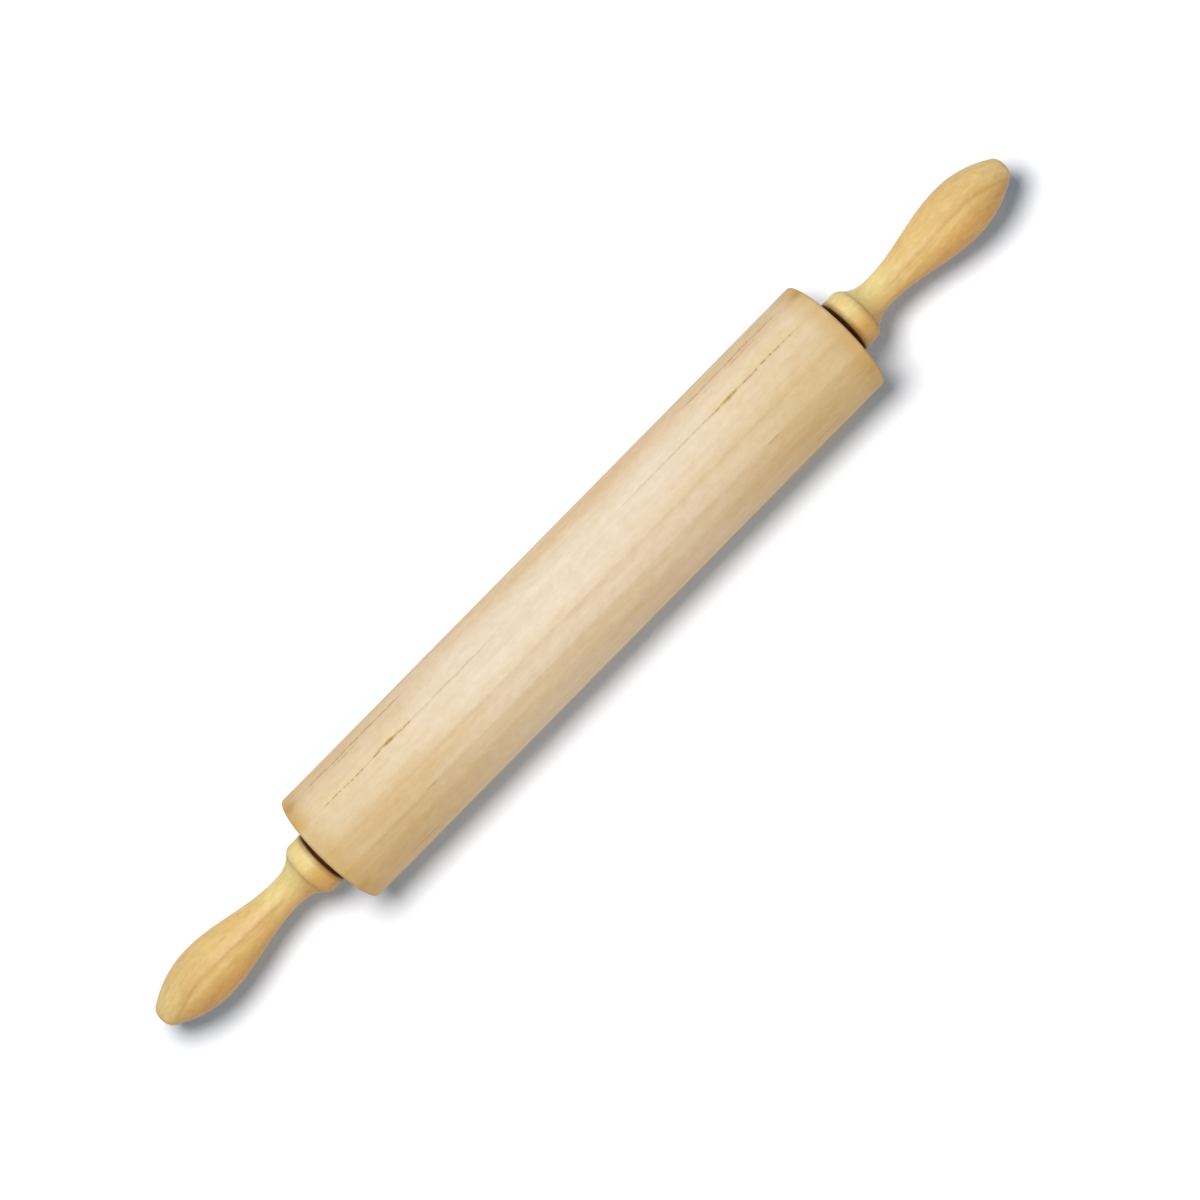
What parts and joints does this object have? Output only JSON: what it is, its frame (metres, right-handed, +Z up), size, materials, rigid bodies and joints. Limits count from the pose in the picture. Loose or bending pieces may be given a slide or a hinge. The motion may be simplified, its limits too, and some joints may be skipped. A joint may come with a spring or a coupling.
{
  "type": "rolling pin with handles",
  "caption": "Wooden rolling pin: a plain round barrel that turns on ball bearings around a steel axle, with a turned handle at each end.",
  "frame": {"origin": "on the surface the pin lies on, directly below the middle of the barrel", "axes": "+X along the pin's axis towards the right handle, +Z up"},
  "size_m": [0.507, 0.0572, 0.0571],
  "materials": {
    "barrel_wood": "smooth sanded pale close-grained hardwood, oiled",
    "handle_wood": "turned hardwood under a thin warm clear varnish",
    "steel": "turned bright steel",
    "bearing_steel": "ground and polished bearing steel",
    "spring_steel": "dark oiled spring steel",
    "brass": "turned brass",
    "dark_plastic": "matt brown-black nylon",
    "cage_plastic": "natural off-white moulded nylon"
  },
  "bodies": {
    "barrel": {"barrel": "barrel_wood", "right_bearing_outer_ring": "bearing_steel", "right_bearing_shield": "bearing_steel", "left_bearing_outer_ring": "bearing_steel", "left_bearing_shield": "bearing_steel"},
    "handles": {"axle_rod": "steel", "right_handle": "handle_wood", "right_handle_insert": "brass", "right_lock_nut": "steel", "right_spacer": "dark_plastic", "right_bearing_inner_ring": "bearing_steel", "right_retaining_clip": "spring_steel", "left_handle": "handle_wood", "left_handle_insert": "brass", "left_lock_nut": "steel", "left_spacer": "dark_plastic", "left_bearing_inner_ring": "bearing_steel", "left_retaining_clip": "spring_steel"},
    "right_balls": {"right_bearing_cage": "cage_plastic", "right_bearing_ball_1": "bearing_steel", "right_bearing_ball_2": "bearing_steel", "right_bearing_ball_3": "bearing_steel", "right_bearing_ball_4": "bearing_steel", "right_bearing_ball_5": "bearing_steel", "right_bearing_ball_6": "bearing_steel", "right_bearing_ball_7": "bearing_steel"},
    "left_balls": {"left_bearing_cage": "cage_plastic", "left_bearing_ball_1": "bearing_steel", "left_bearing_ball_2": "bearing_steel", "left_bearing_ball_3": "bearing_steel", "left_bearing_ball_4": "bearing_steel", "left_bearing_ball_5": "bearing_steel", "left_bearing_ball_6": "bearing_steel", "left_bearing_ball_7": "bearing_steel"}
  },
  "joints": [
    {"name": "handles_turn", "type": "hinge", "parent": "barrel", "child": "handles", "pos_m": [0, 0, 0.02857], "axis": [1, 0, 0], "continuous": true},
    {"name": "right_balls_turn", "type": "hinge", "parent": "barrel", "child": "right_balls", "pos_m": [0.14852, 0, 0.02857], "axis": [1, 0, 0], "continuous": true},
    {"name": "left_balls_turn", "type": "hinge", "parent": "barrel", "child": "left_balls", "pos_m": [-0.14852, 0, 0.02857], "axis": [1, 0, 0], "continuous": true}
  ],
  "couplings": [
    {"joint": "right_balls_turn", "follows": "handles_turn", "ratio": 0.36743},
    {"joint": "left_balls_turn", "follows": "handles_turn", "ratio": 0.36743}
  ]
}
